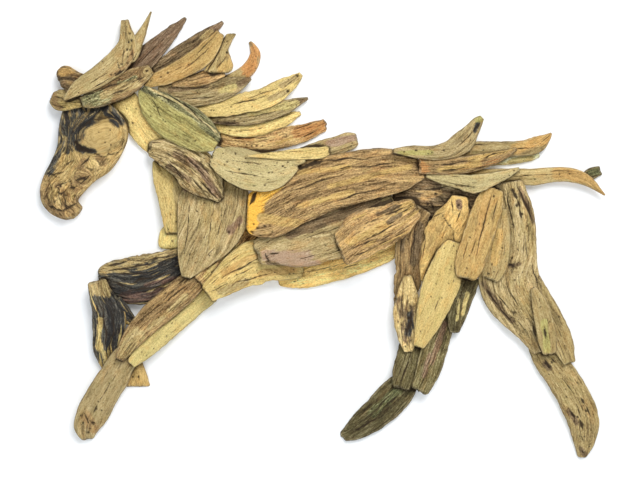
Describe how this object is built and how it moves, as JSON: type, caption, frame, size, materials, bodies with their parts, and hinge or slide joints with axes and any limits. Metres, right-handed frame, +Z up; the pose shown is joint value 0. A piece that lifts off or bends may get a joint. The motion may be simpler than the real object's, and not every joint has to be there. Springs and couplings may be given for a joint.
{
  "type": "driftwood horse wall sculpture",
  "caption": "Wall relief of a galloping horse made of overlapping pieces of driftwood, with a burl head, a mane and tail of tapered splinters and a flat back for the wall",
  "frame": {"origin": "on the wall plane, at the flat back of the slab behind the withers, where the relief is hung", "axes": "+X from the head towards the tail, +Y into the wall, +Z up"},
  "size_m": [0.9118, 0.0551, 0.7228],
  "materials": {
    "straw_wood": "pale straw-yellow weathered wood, matt",
    "honey_wood": "orange-tan heartwood, matt",
    "tan_wood": "tan driftwood with worm holes, matt",
    "grey_tan_wood": "greyish tan driftwood with long open grain, matt",
    "brown_wood": "brown rough-grained wood, matt",
    "dark_wood": "dark brown stained wood, matt",
    "green_wood": "yellow-green wood with remains of bark, matt",
    "olive_bark": "dark olive ribbed bark, matt",
    "charred_wood": "black charred wood with tan streaks, matt",
    "burl_wood": "mottled root burl with black flakes, matt"
  },
  "bodies": {
    "root": {"back_slab": "brown_wood", "belly_plank": "brown_wood", "belly_strip": "honey_wood", "brisket": "straw_wood", "brow_stub": "tan_wood", "chest_block": "honey_wood", "chest_slab": "grey_tan_wood", "chest_strip": "straw_wood", "ear_knob": "brown_wood", "flank_slab": "tan_wood", "forearm_brown_strip": "grey_tan_wood", "forearm_yellow_strip": "straw_wood", "forelock_fork": "tan_wood", "head": "burl_wood", "hip_burl": "dark_wood", "hip_plate": "honey_wood", "hock_left_bark": "olive_bark", "hock_right_bark": "olive_bark", "knee_knot": "tan_wood", "leading_hind_foot": "olive_bark", "mane_hook": "honey_wood", "mane_lock_01": "brown_wood", "mane_lock_02": "dark_wood", "mane_lock_03": "honey_wood", "mane_lock_04": "tan_wood", "mane_lock_05": "brown_wood", "mane_lock_06": "grey_tan_wood", "mane_lock_07": "straw_wood", "mane_lock_08": "grey_tan_wood", "mane_lock_09": "straw_wood", "mane_lock_10": "honey_wood", "mane_lock_11": "straw_wood", "mane_lock_12": "grey_tan_wood", "neck_front_strip": "straw_wood", "neck_leaf": "green_wood", "neck_slab": "brown_wood", "poll_crest": "olive_bark", "raised_forearm": "charred_wood", "raised_hoof": "honey_wood", "raised_shin": "charred_wood", "reaching_shin": "grey_tan_wood", "shoulder_sliver": "dark_wood", "tail_horned_strand": "grey_tan_wood", "tail_knob": "olive_bark", "tail_long_strand": "tan_wood", "tail_pointed_strand": "honey_wood", "tail_root_leaf": "green_wood", "tail_short_strand": "straw_wood", "tail_splintered_strand": "brown_wood", "thigh_back_bark": "olive_bark", "thigh_broad_strip": "honey_wood", "thigh_brown_plank": "dark_wood", "thigh_narrow_strip": "tan_wood", "thigh_oval": "straw_wood", "trailing_hind_foot": "tan_wood", "trailing_leg_plank": "grey_tan_wood", "trailing_shank_leaf": "grey_tan_wood", "trailing_shank_splint": "tan_wood", "withers_pad": "green_wood", "withers_slab": "dark_wood"}
  },
  "joints": []
}
